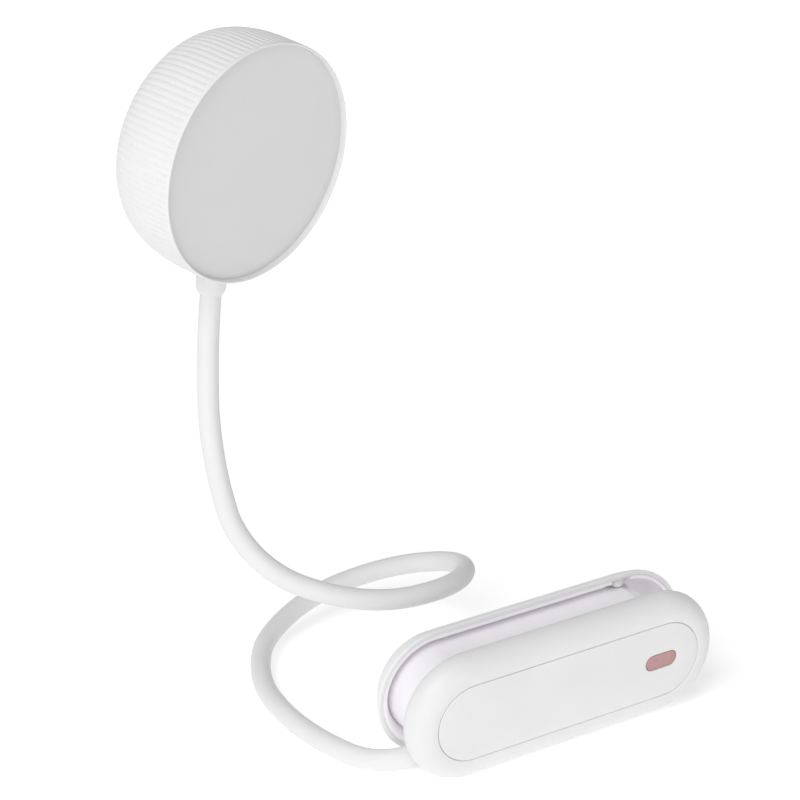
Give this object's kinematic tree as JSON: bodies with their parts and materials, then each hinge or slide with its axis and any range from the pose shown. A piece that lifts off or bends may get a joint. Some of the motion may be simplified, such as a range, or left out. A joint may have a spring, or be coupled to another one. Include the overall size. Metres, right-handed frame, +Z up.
{
  "type": "clip_on_reading_lamp",
  "caption": "White clip-on reading lamp: a spring clip with rounded ends and a power button, a thin bendable neck in a loose loop, and a round ribbed head with a flat diffuser.",
  "frame": {"origin": "centre of the contact face of the clip's fixed pad", "axes": "+Z up, +X along the clip towards its tail, +Y from the front panel to the jaw"},
  "size_m": [0.1711, 0.117, 0.2318],
  "materials": {
    "white_shell": "satin",
    "pink_button": "satin",
    "soft_pad": "matte",
    "soft_sleeve": "satin",
    "steel_core": "brushed",
    "steel_part": "brushed",
    "circuit_board": "gloss",
    "battery_wrap": "gloss",
    "frosted_diffuser": "matte",
    "led_phosphor": "gloss"
  },
  "bodies": {
    "base": {"front_shell": "white_shell", "front_panel": "white_shell", "push_switch": "steel_part", "main_board": "circuit_board", "board_screws": "steel_part", "usb_socket": "steel_part", "battery": "battery_wrap", "core_housing": "white_shell", "core_screws": "steel_part", "clip_pad": "soft_pad", "neck_gland": "white_shell", "hinge_pin": "steel_part", "torsion_spring": "steel_part"},
    "jaw": {"rear_jaw": "white_shell", "jaw_liner": "soft_pad"},
    "button": {"power_button": "pink_button"},
    "neck_1": {"neck_sleeve_1": "soft_sleeve", "neck_core_1": "steel_core"},
    "neck_2": {"neck_sleeve_2": "soft_sleeve", "neck_core_2": "steel_core"},
    "neck_3": {"neck_sleeve_3": "soft_sleeve", "neck_core_3": "steel_core"},
    "neck_4": {"neck_sleeve_4": "soft_sleeve", "neck_core_4": "steel_core"},
    "neck_5": {"neck_sleeve_5": "soft_sleeve", "neck_core_5": "steel_core"},
    "neck_6": {"neck_sleeve_6": "soft_sleeve", "neck_core_6": "steel_core"},
    "neck_7": {"neck_sleeve_7": "soft_sleeve", "neck_core_7": "steel_core"},
    "neck_8": {"neck_sleeve_8": "soft_sleeve", "neck_core_8": "steel_core"},
    "neck_9": {"neck_sleeve_9": "soft_sleeve", "neck_core_9": "steel_core"},
    "neck_10": {"neck_sleeve_10": "soft_sleeve", "neck_core_10": "steel_core"},
    "neck_11": {"neck_sleeve_11": "soft_sleeve", "neck_core_11": "steel_core"},
    "head": {"head_collar": "white_shell", "head_shell": "white_shell", "diffuser": "frosted_diffuser", "led_board": "circuit_board", "leds": "led_phosphor", "head_screws": "steel_part"}
  },
  "joints": [
    {"name": "jaw_hinge", "type": "hinge", "parent": "base", "child": "jaw", "pos_m": [0.035, -0.0045, 0], "axis": [0, 0, -1], "range_deg": [0, 10], "stiffness_Nm_per_rad": 0.35, "springref_deg": -34.38, "deforming": ["torsion_spring"]},
    {"name": "button_press", "type": "slide", "parent": "base", "child": "button", "axis": [0, 1, 0], "range_m": [0, 0.0006], "stiffness_N_per_m": 600, "springref_m": -0.0006},
    {"name": "neck_bend_1", "type": "hinge", "parent": "base", "child": "neck_1", "pos_m": [-0.0475, -0.0145, -0.016], "axis": [0, 0, 1], "range_deg": [-5, 30]},
    {"name": "neck_bend_2", "type": "hinge", "parent": "neck_1", "child": "neck_2", "pos_m": [-0.067, 0.002, -0.0184], "axis": [0.9404, 0.3401, 0], "range_deg": [-25, 15]},
    {"name": "neck_bend_3", "type": "hinge", "parent": "neck_2", "child": "neck_3", "pos_m": [-0.072, 0.038, -0.0183], "axis": [0, 0, 1], "range_deg": [-10, 30]},
    {"name": "neck_bend_4", "type": "hinge", "parent": "neck_3", "child": "neck_4", "pos_m": [-0.059, 0.071, -0.0165], "axis": [0.7071, -0.7071, 0], "range_deg": [-30, 30]},
    {"name": "neck_bend_5", "type": "hinge", "parent": "neck_4", "child": "neck_5", "pos_m": [-0.027, 0.0835, -0.0097], "axis": [0, 0, 1], "range_deg": [-30, 30]},
    {"name": "neck_bend_6", "type": "hinge", "parent": "neck_5", "child": "neck_6", "pos_m": [0.0015, 0.067, 0.0008], "axis": [0.9023, 0.4311, 0], "range_deg": [-30, 30]},
    {"name": "neck_bend_7", "type": "hinge", "parent": "neck_6", "child": "neck_7", "pos_m": [0, 0.035, 0.0128], "axis": [0, 0, 1], "range_deg": [-30, 15]},
    {"name": "neck_bend_8", "type": "hinge", "parent": "neck_7", "child": "neck_8", "pos_m": [-0.0305, 0.02, 0.0193], "axis": [0, 1, 0], "range_deg": [-30, 30]},
    {"name": "neck_bend_9", "type": "hinge", "parent": "neck_8", "child": "neck_9", "pos_m": [-0.0635, 0.0295, 0.0275], "axis": [0, 0, 1], "range_deg": [-30, 30]},
    {"name": "neck_bend_10", "type": "hinge", "parent": "neck_9", "child": "neck_10", "pos_m": [-0.083, 0.0465, 0.051], "axis": [1, 0, 0], "range_deg": [-30, 30]},
    {"name": "neck_bend_11", "type": "hinge", "parent": "neck_10", "child": "neck_11", "pos_m": [-0.0831, 0.0585, 0.0846], "axis": [0, 1, 0], "range_deg": [-30, 30]},
    {"name": "head_tilt", "type": "hinge", "parent": "neck_11", "child": "head", "pos_m": [-0.0775, 0.0655, 0.1205], "axis": [1, 0, 0], "range_deg": [-30, 30]}
  ]
}
